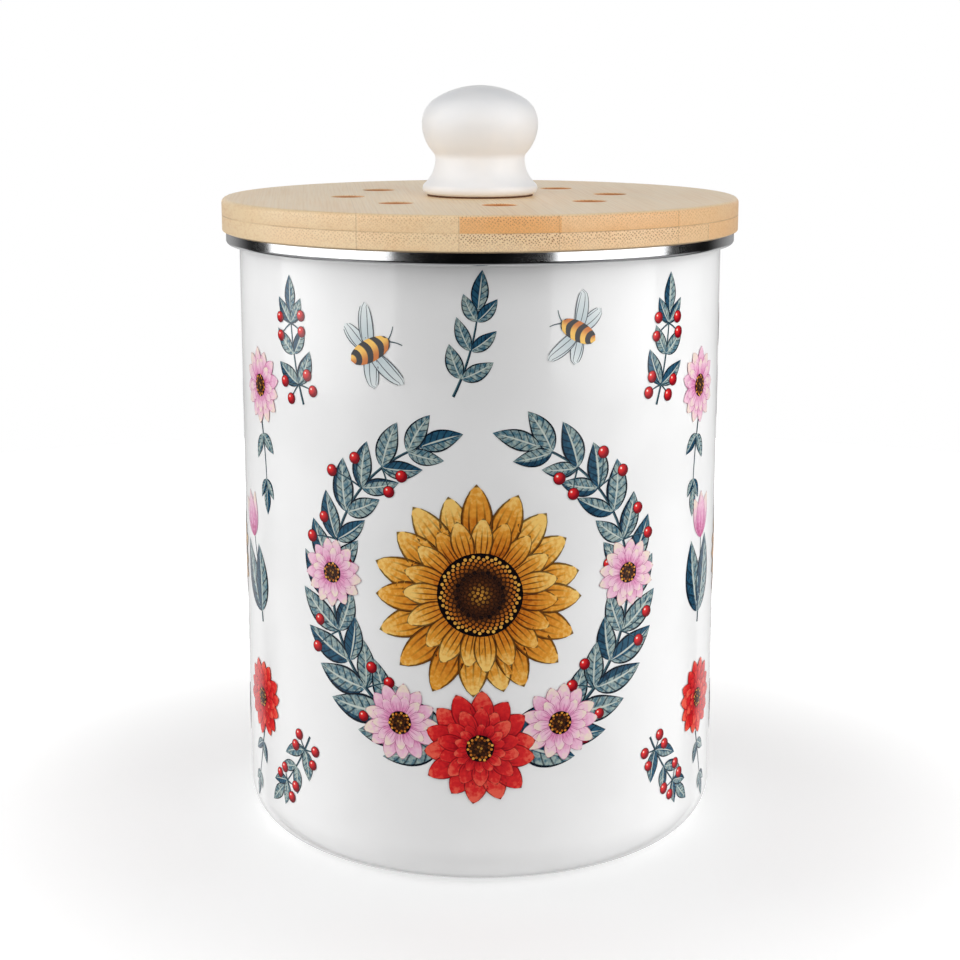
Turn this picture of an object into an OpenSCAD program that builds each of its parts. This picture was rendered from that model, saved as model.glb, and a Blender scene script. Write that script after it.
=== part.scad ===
// Compost caddy: an enamelled steel can with a bright steel rim, and a lift-off bamboo lid
// with a ring of vent holes, a white knob, a silicone seal and a push-in charcoal filter.
// The origin is the middle of the foot, on the surface it stands on. +Z is up, -Y is the front.

/* [Can] */
// Outside diameter of the straight wall
can_d = 159; // [148:1:180]
// Height of the lip's top face
can_h = 201.15; // [170:0.05:230]
// Wall of the enamelled steel
can_wall = 0.8; // [0.6:0.1:1.2]
// Outside radius where the wall turns into the base
can_corner_r = 14.5; // [8:0.5:20]
// Width of the flat ring that the can stands on
foot_w = 7; // [4:0.5:12]
// Rise of the base's middle panel above the foot
base_rise = 1.8; // [1:0.1:3]
// Width of the slope between the foot and the middle panel
base_slope_w = 4; // [2:0.5:6]
// Underside radius of the flared lip
lip_r = 1.2; // [0.8:0.1:1.6]

/* [Rim] */
// How far the rim stands out from the wall
rim_out = 4.3; // [3.5:0.1:6]
// Height of the rim
rim_h = 4.25; // [3.6:0.05:6]
// Sheet that the rim is rolled from
rim_t = 0.5; // [0.4:0.05:0.7]
// Radius of the rim's top outer edge
rim_top_r = 1.3; // [0.8:0.1:1.6]
// Radius of the rim's bottom outer edge
rim_bottom_r = 1.8; // [1:0.1:2]
// Gap between the rim's rolled-in edge and the wall
rim_gap = 0.1; // [0.05:0.05:0.3]

/* [Lid] */
// How far the lid reaches past the rim
lid_overhang = 1.2; // [0:0.1:4]
// Thickness of each of the lid's two bamboo plies
ply_t = 5.3; // [4.5:0.1:8]
// Rounding of the lid's top edge
lid_top_r = 1.6; // [0.5:0.1:3]
// Rounding of the lid's bottom edge
lid_bottom_r = 0.4; // [0.3:0.1:2]
// Diameter of each vent hole
vent_d = 11; // [6:0.5:14]
// Diameter of the circle that the vent holes lie on
vent_pcd = 87.5; // [70:0.5:90]
// Number of vent holes
vent_count = 8; // [4:1:12]
// Turn of the vent holes from the front
vent_turn = 7.8; // [0:0.1:45]

/* [Plug and seal] */
// Height of the bamboo ring that plugs into the can
plug_h = 12; // [10:0.5:18]
// Gap between the plug ring and the can's wall
plug_gap = 2; // [1.2:0.1:3]
// Rounding of the plug ring's bottom outer edge
plug_r = 1; // [0.5:0.1:2]
// Height of the seal's groove
groove_h = 4.4; // [3.6:0.1:6]
// Depth of the seal's groove
groove_depth = 3; // [2:0.1:4]
// Depth of the groove's top below the lid's seat
groove_drop = 3.4; // [2:0.1:5]
// Thickness of each of the seal's three lips
seal_lip_t = 0.7; // [0.5:0.1:1]
// Gap between the seal's lips and the can's wall
seal_gap = 0.2; // [0.1:0.05:0.5]
// Gap between the seal's root and the sides of its groove
seal_side_gap = 0.1; // [0.05:0.05:0.2]

/* [Knob] */
// Height of the knob
knob_h = 35.25; // [30:0.25:45]
// Diameter of the knob's head
knob_head_d = 38.2; // [32:0.1:44]
// Diameter of the knob's neck
knob_neck_d = 29.4; // [24:0.1:31]
// Diameter of the knob's foot
knob_foot_d = 38; // [35:0.1:44]
// Height of the head's widest place above the knob's foot
knob_wide_h = 23; // [21:0.5:26]
// Radius of the head's shoulder
knob_shoulder_r = 9.5; // [6:0.5:10.5]
// Radius of the head's belly
knob_belly_r = 14; // [11:0.5:16]
// Radius of the hollow at the neck
knob_hollow_r = 3; // [2:0.5:5]
// Radius of the foot's rolled edge
knob_edge_r = 2; // [1.2:0.1:2.4]
// Thickness of the cushion washer under the knob
cushion_t = 0.5; // [0.3:0.1:1]
// How far the cushion washer stays inside the knob's foot
cushion_in = 1.6; // [1:0.1:4]

/* [Knob screw] */
// Diameter of the screw's shank
screw_d = 4; // [3:0.1:5]
// Diameter of the screw's pan head
screw_head_d = 8; // [7:0.1:9]
// Height of the screw's pan head
screw_head_h = 2.4; // [2:0.1:3]
// Reach of the screw into the knob's insert
screw_reach = 9; // [6:0.5:12]
// Width of the cross recess in the head
recess_w = 1.2; // [0.8:0.1:1.6]
// Length of the cross recess in the head
recess_l = 5; // [4:0.1:6]
// Depth of the cross recess in the head
recess_depth = 1.4; // [1:0.1:1.8]
// Diameter of the washer under the screw's head
washer_d = 10; // [9:0.5:12]
// Thickness of the washer
washer_t = 0.8; // [0.5:0.1:1.2]
// Outside diameter of the threaded insert
insert_d = 7; // [6:0.1:9]
// Length of the threaded insert
insert_l = 14; // [12:0.5:16]
// Radial gap round the screw in the wood and the washer
screw_gap = 0.25; // [0.1:0.05:0.5]
// Radial gap of the glued insert and of the screw in its thread
thread_gap = 0.05; // [0.03:0.01:0.1]
// Radial gap round the washer in its counterbore
washer_gap = 0.5; // [0.3:0.1:1]
// Depth of the screw head's face below the lid's underside
head_sunk = 0.6; // [0.2:0.1:1]

/* [Filter] */
// Diameter of the charcoal filter
filter_d = 110; // [104:1:122]
// Thickness of the charcoal filter
filter_t = 8; // [5:0.5:9]
// Gap round the charcoal filter in its holder
filter_gap = 0.5; // [0.3:0.1:1]
// Wall of the holder's collar
holder_wall = 1.5; // [1.2:0.1:2]
// Height of the holder's collar above its floor
collar_h = 9; // [8:0.5:9.5]
// Thickness of the holder's floor and flange
floor_t = 1.6; // [1.2:0.1:2.4]
// How far the flange reaches past the plug ring's bore
flange_w = 4; // [2:0.5:6]
// Height of the collar's friction ribs
friction_rib_h = 0.4; // [0.3:0.05:0.6]
// Width of the collar's friction ribs
friction_rib_w = 2.4; // [1.6:0.2:4]
// Number of friction ribs
friction_rib_count = 8; // [4:1:12]
// Gap between the friction ribs and the plug ring's bore
bore_gap = 0.1; // [0.05:0.05:0.2]
// Radius of the holder's closed middle
hub_r = 13; // [12:0.5:18]
// Width of each ring of slots
slot_w = 4; // [3:0.5:6]
// Width of the ring left between two rings of slots
slot_rib_w = 3; // [2:0.5:5]
// Number of spokes across the slots
spoke_count = 8; // [4:1:12]
// Width of each spoke
spoke_w = 4; // [2:0.5:8]
// Length of the pull grip
grip_l = 20; // [14:1:24]
// Thickness of the pull grip
grip_t = 3; // [2:0.5:5]
// Depth of the pull grip below the floor
grip_h = 9; // [6:0.5:14]

/* [Hidden] */
$fn = 96;
// Length by which a cutter runs past the face that it cuts
past = 1;

can_r = can_d / 2;
can_bore_r = can_r - can_wall;
foot_r = can_r - can_corner_r;
rim_r = can_r + rim_out;
seat_z = can_h + rim_t;
lid_r = rim_r + lid_overhang;
ply_joint_z = seat_z + ply_t;
lid_top_z = seat_z + 2 * ply_t;

holder_r = filter_d / 2 + filter_gap + holder_wall;
plug_bore_r = holder_r + friction_rib_h + bore_gap;
plug_outer_r = can_bore_r - plug_gap;
plug_bottom_z = seat_z - plug_h;
groove_top_z = seat_z - groove_drop;
groove_r = plug_outer_r - groove_depth;

knob_z = lid_top_z + cushion_t;
counterbore_r = washer_d / 2 + washer_gap;
screw_face_z = seat_z + head_sunk;
washer_z = screw_face_z + screw_head_h;
washer_top_z = washer_z + washer_t;
screw_r = screw_d / 2;
insert_bore_r = screw_r + thread_gap;

// Points of an arc in the plane of a turned profile, from angle a0 to a1
function arc(centre, r, a0, a1, steps = 12) =
    [for (i = [0:steps]) let (a = a0 + (a1 - a0) * i / steps) centre + r * [cos(a), sin(a)]];

// A turned piece, from its profile of [radius, height] points
module turned(profile) {
    rotate_extrude() polygon(profile);
}

// A flat ring from height z upwards
module ring(outer_r, inner_r, z, h) {
    translate([0, 0, z]) difference() {
        cylinder(r = outer_r, h = h);
        translate([0, 0, -past]) cylinder(r = inner_r, h = h + 2 * past);
    }
}

// Deep-drawn can: raised base panel, foot ring, rounded corner, straight wall and flared lip
module can() {
    flare_z = can_h - can_wall - lip_r;
    flare = [can_r + lip_r, flare_z];
    corner = [foot_r, can_corner_r];
    lip_end_r = rim_r - rim_top_r;
    foot_inner_r = foot_r - foot_w;
    panel_r = foot_inner_r - base_slope_w;
    outside = concat(
        [[0, base_rise], [panel_r, base_rise], [foot_inner_r, 0]],
        arc(corner, can_corner_r, -90, 0, 20),
        arc(flare, lip_r, 180, 90, 8),
        [[lip_end_r, can_h - can_wall]]);
    inside = concat(
        [[lip_end_r, can_h]],
        arc(flare, lip_r + can_wall, 90, 180, 8),
        arc(corner, can_corner_r - can_wall, 0, -90, 20),
        [[foot_inner_r, can_wall], [panel_r, base_rise + can_wall], [0, base_rise + can_wall]]);
    color("white") turned(concat(outside, inside));
}

// Bright steel rim, rolled over the can's lip
module rim_ring() {
    rim_bottom_z = seat_z - rim_h;
    top_edge = [rim_r - rim_top_r, seat_z - rim_top_r];
    bottom_edge = [rim_r - rim_bottom_r, rim_bottom_z + rim_bottom_r];
    lip_flat_r = can_r + lip_r;
    leg_r = can_r + rim_gap;
    color("silver") turned(concat(
        [[lip_flat_r, seat_z]],
        arc(top_edge, rim_top_r, 90, 0, 8),
        arc(bottom_edge, rim_bottom_r, 0, -90, 10),
        [[leg_r, rim_bottom_z], [leg_r, rim_bottom_z + rim_t]],
        arc(bottom_edge, rim_bottom_r - rim_t, -90, 0, 10),
        arc(top_edge, rim_top_r - rim_t, 0, 90, 8),
        [[lip_flat_r, can_h]]));
}

// One cutter for each vent hole, through both plies
module vent_cutters() {
    for (i = [0:vent_count - 1])
        rotate([0, 0, vent_turn - 90 + i * 360 / vent_count])
            translate([vent_pcd / 2, 0, seat_z - past])
                cylinder(d = vent_d, h = 2 * ply_t + 2 * past);
}

// Upper bamboo ply, with the rounded top edge
module lid_upper_ply() {
    color("burlywood") difference() {
        turned(concat(
            [[0, ply_joint_z], [lid_r, ply_joint_z]],
            arc([lid_r - lid_top_r, lid_top_z - lid_top_r], lid_top_r, 0, 90, 10),
            [[0, lid_top_z]]));
        vent_cutters();
        translate([0, 0, ply_joint_z - past])
            cylinder(r = screw_r + screw_gap, h = ply_t + 2 * past);
    }
}

// Lower bamboo ply, counterbored from below for the knob's screw
module lid_lower_ply() {
    color("tan") difference() {
        turned(concat(
            [[0, seat_z]],
            arc([lid_r - lid_bottom_r, seat_z + lid_bottom_r], lid_bottom_r, -90, 0, 8),
            [[lid_r, ply_joint_z], [0, ply_joint_z]]));
        vent_cutters();
        translate([0, 0, seat_z - past])
            cylinder(r = screw_r + screw_gap, h = ply_t + 2 * past);
        translate([0, 0, seat_z - past])
            cylinder(r = counterbore_r, h = washer_top_z - seat_z + past);
    }
}

// Bamboo ring glued under the lid: it centres the lid, carries the seal and takes the filter holder
module plug_ring() {
    groove_bottom_z = groove_top_z - groove_h;
    color("wheat") turned(concat(
        [[plug_bore_r, plug_bottom_z]],
        arc([plug_outer_r - plug_r, plug_bottom_z + plug_r], plug_r, -90, 0, 6),
        [[plug_outer_r, groove_bottom_z], [groove_r, groove_bottom_z],
         [groove_r, groove_top_z], [plug_outer_r, groove_top_z],
         [plug_outer_r, seat_z], [plug_bore_r, seat_z]]));
}

// Silicone seal: a root that fills the plug ring's groove, and three thin lips
module seal_ring() {
    root_top_z = groove_top_z - seal_side_gap;
    root_h = groove_h - 2 * seal_side_gap;
    lip_r_out = can_bore_r - seal_gap;
    lip_pitch = (root_h - seal_lip_t) / 2;
    color("gainsboro") union() {
        ring(plug_outer_r, groove_r, root_top_z - root_h, root_h);
        for (i = [0:2])
            ring(lip_r_out, groove_r, root_top_z - root_h + i * lip_pitch, seal_lip_t);
    }
}

// Turned knob: crowned head, hollow neck and a flared foot with a rolled edge
module knob() {
    head_r = knob_head_d / 2;
    neck_r = knob_neck_d / 2;
    foot_edge_r = knob_foot_d / 2;
    shoulder = [head_r - knob_shoulder_r, knob_wide_h];
    belly = [head_r - knob_belly_r, knob_wide_h];
    // The crown's arc touches the shoulder's arc and reaches the knob's full height
    crown_h = knob_h - knob_wide_h;
    crown_r = (pow(shoulder[0], 2) + pow(crown_h, 2) - pow(knob_shoulder_r, 2))
        / (2 * (crown_h - knob_shoulder_r));
    crown = [0, knob_h - crown_r];
    crown_a = atan2(shoulder[1] - crown[1], shoulder[0] - crown[0]);
    // The neck's hollow touches the belly, and is upright at the neck
    hollow_r0 = neck_r + knob_hollow_r;
    hollow_drop = sqrt(pow(knob_belly_r + knob_hollow_r, 2) - pow(hollow_r0 - belly[0], 2));
    hollow = [hollow_r0, knob_wide_h - hollow_drop];
    hollow_a = atan2(belly[1] - hollow[1], belly[0] - hollow[0]);
    // The flare runs on from the hollow and touches the foot's rolled edge
    edge = [foot_edge_r - knob_edge_r, knob_edge_r];
    flare_in = edge[0] - neck_r;
    flare_r = (pow(flare_in, 2) + pow(hollow[1] - edge[1], 2) - pow(knob_edge_r, 2))
        / (2 * (knob_edge_r + flare_in));
    flare = [neck_r + flare_r, hollow[1]];
    flare_a = atan2(edge[1] - flare[1], edge[0] - flare[0]);
    color("white") translate([0, 0, knob_z]) difference() {
        turned(concat(
            [[0, 0]],
            arc(edge, knob_edge_r, -90, flare_a + 180, 12),
            arc(flare, flare_r, flare_a + 360, 180, 12),
            arc(hollow, knob_hollow_r, 180, hollow_a, 8),
            arc(belly, knob_belly_r, hollow_a - 180, 0, 12),
            arc(shoulder, knob_shoulder_r, 0, crown_a, 14),
            arc(crown, crown_r, crown_a, 90, 12)));
        translate([0, 0, -past])
            cylinder(r = insert_d / 2 + thread_gap, h = insert_l + past);
    }
}

// Thin fibre washer that keeps the knob's foot off the wood
module knob_cushion() {
    color("saddlebrown")
        ring(knob_foot_d / 2 - cushion_in, screw_r + screw_gap, lid_top_z, cushion_t);
}

// Threaded insert, glued into the knob
module knob_insert() {
    color("goldenrod") ring(insert_d / 2, insert_bore_r, knob_z, insert_l);
}

// Pan-head screw, from under the lid into the knob's insert
module knob_screw() {
    color("silver") difference() {
        union() {
            translate([0, 0, screw_face_z]) cylinder(d = screw_head_d, h = screw_head_h);
            translate([0, 0, washer_z])
                cylinder(r = screw_r, h = knob_z - washer_z + screw_reach);
        }
        for (a = [0, 90])
            rotate([0, 0, a])
                translate([-recess_l / 2, -recess_w / 2, screw_face_z - past])
                    cube([recess_l, recess_w, recess_depth + past]);
    }
}

// Washer between the screw's head and the wood
module knob_washer() {
    color("silver") ring(washer_d / 2, screw_r + screw_gap, washer_z, washer_t);
}

// Rings of slots in the holder's floor, as cutters with the spokes left out
module slot_cutters(z, h) {
    slot_pitch = slot_w + slot_rib_w;
    slot_rows = floor((holder_r - holder_wall - hub_r) / slot_pitch);
    difference() {
        for (i = [0:slot_rows - 1])
            ring(hub_r + i * slot_pitch + slot_w, hub_r + i * slot_pitch, z, h);
        for (i = [0:spoke_count - 1])
            rotate([0, 0, i * 360 / spoke_count])
                translate([0, -spoke_w / 2, z - past])
                    cube([holder_r, spoke_w, h + 2 * past]);
    }
}

// Push-in tray for the filter: flange, slotted floor, collar with friction ribs and a pull grip
module filter_holder() {
    floor_z = plug_bottom_z - floor_t;
    rib_r = holder_r + friction_rib_h;
    color("dimgray") difference() {
        union() {
            translate([0, 0, floor_z]) cylinder(r = plug_bore_r + flange_w, h = floor_t);
            ring(holder_r, holder_r - holder_wall, plug_bottom_z, collar_h);
            for (i = [0:friction_rib_count - 1])
                rotate([0, 0, i * 360 / friction_rib_count])
                    translate([holder_r - holder_wall / 2, -friction_rib_w / 2, plug_bottom_z])
                        cube([rib_r - holder_r + holder_wall / 2, friction_rib_w, collar_h]);
            translate([-grip_l / 2, -grip_t / 2, floor_z - grip_h])
                cube([grip_l, grip_t, grip_h]);
        }
        slot_cutters(floor_z - past, floor_t + 2 * past);
    }
}

// Charcoal filter disc, lying on the holder's floor
module carbon_filter() {
    color("black") translate([0, 0, plug_bottom_z]) cylinder(d = filter_d, h = filter_t);
}

can();
rim_ring();
lid_upper_ply();
lid_lower_ply();
plug_ring();
seal_ring();
knob();
knob_cushion();
knob_insert();
knob_screw();
knob_washer();
filter_holder();
carbon_filter();
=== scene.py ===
"""Looks of the compost caddy: white enamel, bright rim, bamboo lid, glazed knob and a printed garland."""
import random
from math import asin, atan2, cos, degrees, dist, pi, radians, sin, sqrt

import bmesh
import bpy
from mathutils import Matrix, Vector, noise


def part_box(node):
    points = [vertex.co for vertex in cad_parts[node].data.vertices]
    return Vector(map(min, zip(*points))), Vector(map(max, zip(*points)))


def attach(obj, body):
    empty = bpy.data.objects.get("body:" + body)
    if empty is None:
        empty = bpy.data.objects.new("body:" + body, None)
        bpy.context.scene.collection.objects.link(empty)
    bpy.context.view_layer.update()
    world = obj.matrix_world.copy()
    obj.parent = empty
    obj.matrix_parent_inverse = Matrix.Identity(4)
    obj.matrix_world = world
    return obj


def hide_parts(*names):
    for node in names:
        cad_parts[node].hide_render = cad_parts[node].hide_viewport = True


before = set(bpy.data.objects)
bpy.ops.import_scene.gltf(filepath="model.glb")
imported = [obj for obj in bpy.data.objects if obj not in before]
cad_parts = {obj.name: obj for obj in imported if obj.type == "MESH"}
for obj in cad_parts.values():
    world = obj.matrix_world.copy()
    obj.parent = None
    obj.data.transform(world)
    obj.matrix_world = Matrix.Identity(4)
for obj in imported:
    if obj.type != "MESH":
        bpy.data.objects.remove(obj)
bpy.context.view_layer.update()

MM = 0.001


# ------------ sizes, in millimetres
def low(node):
    """Lowest corner of a node's box."""
    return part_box(node)[0] / MM


def high(node):
    """Highest corner of a node's box."""
    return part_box(node)[1] / MM


RIM_R = high("rim_ring").x
RIM_BOTTOM_Z = low("rim_ring").z
RIM_OUT = 4.3
RIM_T = 0.5
RIM_TOP_R = 0.6
RIM_BOTTOM_R = 1.2
RIM_GAP = 0.1

CAN_R = RIM_R - RIM_OUT
CAN_LIP_Z = high("can").z
CAN_WALL = 0.8
CAN_CORNER_R = 14.5
CAN_LIP_R = 1.2
CAN_LIP_INSET = 1.3
FOOT_R = CAN_R - CAN_CORNER_R
FOOT_W = 7.0
BASE_RISE = 1.8
BASE_SLOPE_W = 4.0
PANEL_EDGE_W = 1.0
PANEL_EDGE_H = 0.1
FOOT_EDGE_W = 0.6
FOOT_EDGE_H = 0.12

SEAT_Z = low("lid_lower_ply").z
PLY_JOINT_Z = low("lid_upper_ply").z
LID_TOP_Z = high("lid_upper_ply").z
LID_R = high("lid_upper_ply").x
LID_TOP_R = 1.6
LID_BOTTOM_R = 0.4
PLY_EDGE_R = 0.12
EDGE_LAND = 0.3
JOINT_LAND = 1.0
HOLE_LAND = 0.2
VENT_R = 5.5
VENT_RING_R = 43.75
VENT_COUNT = 8
VENT_TURN = radians(7.8)
VENT_EDGE = 0.4
SCREW_HOLE_R = 2.25
COUNTERBORE_R = 5.5
COUNTERBORE_TOP_Z = high("knob_washer").z

PLUG_R = high("plug_ring").x
PLUG_BOTTOM_Z = low("plug_ring").z
SEAL_R = high("seal_ring").x
SEAL_TOP_Z = high("seal_ring").z
SEAL_BOTTOM_Z = low("seal_ring").z
SEAL_LIP_T = 0.7
SEAL_LIPS = 3
PLUG_EDGE_R = 1.0
PLUG_EASE = 0.6
GROOVE_DEPTH = 3.0
GROOVE_GAP = 0.1
GROOVE_R = PLUG_R - GROOVE_DEPTH

KNOB_Z = low("knob").z
KNOB_H = high("knob").z - KNOB_Z
KNOB_HEAD_R = 19.1
KNOB_NECK_R = 14.7
KNOB_FOOT_R = 19.0
KNOB_WIDE_H = 23.0
KNOB_SHOULDER_R = 9.5
KNOB_BELLY_R = 14.0
KNOB_HOLLOW_R = 3.0
KNOB_EDGE_R = 2.0
KNOB_BORE_R = 3.55
KNOB_BORE_H = 14.0

FLANGE_R = high("filter_holder").x
GRIP_BOTTOM_Z = low("filter_holder").z
FILTER_R = high("carbon_filter").x
FILTER_TOP_Z = high("carbon_filter").z
TRAY_FLOOR_T = 1.6
TRAY_WALL = 1.5
TRAY_INNER_R = FILTER_R + 0.5
TRAY_OUTER_R = TRAY_INNER_R + TRAY_WALL
COLLAR_H = 9.0
COLLAR_EASE = 0.4
DETENT_COUNT = 8
DETENT_SIZE = (1.0, 2.4, COLLAR_H - 0.6)
PLUG_BORE_R = TRAY_OUTER_R + 0.5
SLOT_HUB_R = 13.0
SLOT_W = 4.0
SLOT_RIB_W = 3.0
SLOT_ROWS = 6
SPOKE_COUNT = 8
SPOKE_W = 4.0
SPOKE_STEPS = 8
FLOOR_EDGE_R = 0.3
DETENT_SINK = 0.1
DETENT_EDGE_R = 0.25
GRIP_L = 20.0
GRIP_T = 3.0
GRIP_SINK = 0.5
GRIP_EDGE_R = 0.9
GRIP_RIDGES = 4
RIDGE_SIZE = (GRIP_L - 4, GRIP_T + 0.7, 0.7)
RIDGE_EDGE_R = 0.3
RIDGE_START = 1.8
RIDGE_PITCH = 1.5
FELT_GAP = 0.1
FELT_DIP = 0.2
FELT_EDGE_R = 1.6
FELT_RINGS = 28
FELT_STEPS = 112
FELT_GRAIN = 0.35
FELT_RISE = 0.22

# How far the print's inks are lifted off the wall, so that no two of them lie at one height
STEM_LIFT = 0.03
LEAF_LIFT = 0.05
STALK_LIFT = 0.075
WING_LIFT = 0.10
BERRY_LIFT = 0.13
BEE_LIFT = 0.16
LAYER_LIFT = 0.045

WELD = 1e-4
PRINT_WELD = 2e-3
SUPPORT_GAP = 0.25
SHARP = radians(40)
FLOOR_SHARP = radians(60)
SHEET_VERTS = 900


# ------------ shaping
def off(centre, distance, a):
    """The point at a distance from a centre, in a direction given in radians."""
    return centre[0] + distance * cos(a), centre[1] + distance * sin(a)


def arc(centre, radius, start, end, steps):
    """Points of an arc in the plane of a turned profile, from one angle to another in degrees."""
    return [off(centre, radius, radians(start + (end - start) * i / steps)) for i in range(steps + 1)]


def with_supports(profile):
    """The profile with a point close to each end of every long straight stretch, so that it shades flat."""
    points = [profile[0]]
    for a, b in zip(profile, profile[1:]):
        length = dist(a, b)
        if length > 4 * SUPPORT_GAP:
            for share in (SUPPORT_GAP / length, 1 - SUPPORT_GAP / length):
                points.append((a[0] + (b[0] - a[0]) * share, a[1] + (b[1] - a[1]) * share))
        points.append(b)
    return points


def turn_profile(bm, profile, steps=128, closed=True):
    """Spins a profile of (radius, height) points round the Z axis into a closed shell."""
    points = with_supports(profile + profile[:1] if closed else profile)
    if closed:
        points.pop()
    verts = [bm.verts.new((r, 0, z)) for r, z in points]
    edges = [bm.edges.new(pair) for pair in zip(verts, verts[1:])]
    if closed:
        edges.append(bm.edges.new((verts[-1], verts[0])))
    bmesh.ops.spin(bm, geom=verts + edges, axis=(0, 0, 1), cent=(0, 0, 0), angle=2 * pi,
                   steps=steps, use_merge=True)
    bmesh.ops.remove_doubles(bm, verts=bm.verts[:], dist=WELD)


pieces = {"caddy": [], "lid": [], "filter_tray": []}


def mesh_of(name, bm):
    """A mesh with what was built, which is then let go."""
    mesh = bpy.data.meshes.new(name)
    bm.to_mesh(mesh)
    bm.free()
    return mesh


def in_scene(name, data):
    """An object of the scene that shows a mesh, a lamp or a camera."""
    made = bpy.data.objects.new(name, data)
    bpy.context.scene.collection.objects.link(made)
    return made


def piece(name, bm, material, body, replaces=(), recalculate=True):
    """Makes the piece's object from a mesh in millimetres, and says what it rides on and replaces."""
    if recalculate:
        bmesh.ops.recalc_face_normals(bm, faces=bm.faces[:])
    for face in bm.faces:
        face.smooth = True
    for edge in bm.edges:
        if len(edge.link_faces) == 2 and edge.calc_face_angle(0) > SHARP:
            edge.smooth = False
    bmesh.ops.scale(bm, vec=(MM, MM, MM), verts=bm.verts[:])
    made = in_scene(name, mesh_of(name, bm))
    made.data.materials.append(material)
    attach(made, body)
    if replaces:
        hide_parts(*replaces)
    pieces[body].append(made)
    return made


def turned_piece(name, profile, material, body, replaces, closed=True):
    """A piece that is one turned shell."""
    bm = bmesh.new()
    turn_profile(bm, profile, closed=closed)
    piece(name, bm, material, body, replaces)


def circle_edges(bm, centre, radius, height, steps):
    """A ring of edges round a centre."""
    place = Matrix.Translation((centre[0], centre[1], height))
    verts = bmesh.ops.create_circle(bm, segments=steps, radius=radius, matrix=place)["verts"]
    return list({edge for vert in verts for edge in vert.link_edges})


def skirt(bm, edges, centre, profile):
    """Draws a ring of edges out through each (radius, height) in turn, and returns the last ring."""
    middle = Vector((centre[0], centre[1], 0))
    for radius, height in profile:
        made = bmesh.ops.extrude_edge_only(bm, edges=edges)["geom"]
        verts = {g for g in made if isinstance(g, bmesh.types.BMVert)}
        edges = [g for g in made if isinstance(g, bmesh.types.BMEdge) and verts.issuperset(g.verts)]
        for vert in verts:
            out = Vector((vert.co.x, vert.co.y, 0)) - middle
            vert.co = middle + out.normalized() * radius + Vector((0, 0, height))
    return edges


def board(bm, outline, holes):
    """A flat board: its edge and each hole's wall are profiles of (radius, height) from top to bottom."""
    rings = [((0, 0), outline, 256)] + [(centre, wall, 64) for centre, wall in holes]
    top, bottom = [], []
    for centre, wall, steps in rings:
        first = circle_edges(bm, centre, *wall[0], steps)
        top += first
        bottom += skirt(bm, first, centre, wall[1:])
    bmesh.ops.triangle_fill(bm, edges=top, use_beauty=True, normal=(0, 0, 1))
    bmesh.ops.triangle_fill(bm, edges=bottom, use_beauty=True, normal=(0, 0, -1))


def rounded_block(bm, size, centre, radius, turn=0.0):
    """A block with rounded edges, turned about Z by an angle in radians."""
    place = Matrix.Rotation(turn, 4, "Z") @ Matrix.Translation(centre) @ Matrix.Diagonal((*size, 1))
    verts = bmesh.ops.create_cube(bm, size=1, matrix=place)["verts"]
    edges = list({edge for vert in verts for edge in vert.link_edges})
    bmesh.ops.bevel(bm, geom=edges, offset=radius, segments=3, profile=0.5, affect="EDGES", material=-1)


# ------------ finishes
def as_colour(given):
    """A shader's colour for a picture's red, green and blue, 0 to 255. Anything else stays as it is."""
    if not isinstance(given, tuple) or len(given) != 3:
        return given
    shares = [c / 255 for c in given]
    return (*[c / 12.92 if c <= 0.04045 else ((c + 0.055) / 1.055) ** 2.4 for c in shares], 1)


class Value:
    """What a node gives out, which takes part in sums with numbers and with other values."""

    def __init__(self, nodes, socket):
        self.nodes = nodes
        self.socket = socket

    def math(self, operation, second=0.0, third=0.0):
        return self.nodes.value("Math", {0: self, 1: second, 2: third}, operation=operation)

    def __add__(self, other):
        return self.math("ADD", other)

    def __sub__(self, other):
        return self.math("SUBTRACT", other)

    def __mul__(self, other):
        return self.math("MULTIPLY", other)

    def __pow__(self, other):
        return self.math("POWER", other)

    def __abs__(self):
        return self.math("ABSOLUTE")

    def either(self, other):
        """The larger of the two."""
        return self.math("MAXIMUM", other)

    def spread(self, start, end, to_start=0.0, to_end=1.0):
        """Takes one range of the value to another, smoothly and clamped."""
        inputs = {"Value": self, "From Min": start, "From Max": end, "To Min": to_start, "To Max": to_end}
        return self.nodes.value("MapRange", inputs, interpolation_type="SMOOTHSTEP")

    def fall(self, start, end, height=1.0):
        """The height up to the start of a range, and nothing from its end on."""
        return self.spread(start, end, height, 0.0)


def radius_at(x, y):
    """How far a point is from the middle."""
    return (x ** 2 + y ** 2).math("SQRT")


class Nodes:
    """A node tree that grows by one short call for each node."""

    def __init__(self, tree):
        self.tree = tree

    def feed(self, socket, value):
        if isinstance(value, Value):
            self.tree.links.new(value.socket, socket)
        else:
            socket.default_value = value

    def node(self, kind, inputs=(), **settings):
        made = self.tree.nodes.new("ShaderNode" + kind)
        for name, value in settings.items():
            setattr(made, name, value)
        for name, value in dict(inputs).items():
            self.feed(made.inputs[name], value)
        return made

    def value(self, kind, inputs=(), output=0, **settings):
        return Value(self, self.node(kind, inputs, **settings).outputs[output])

    def parts(self, vector):
        return [Value(self, part) for part in self.node("SeparateXYZ", {0: vector}).outputs]

    def ray(self, kind):
        """1 for camera, glossy or transmission rays, and 0 for the others."""
        return self.value("LightPath", output=f"Is {kind} Ray")


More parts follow.
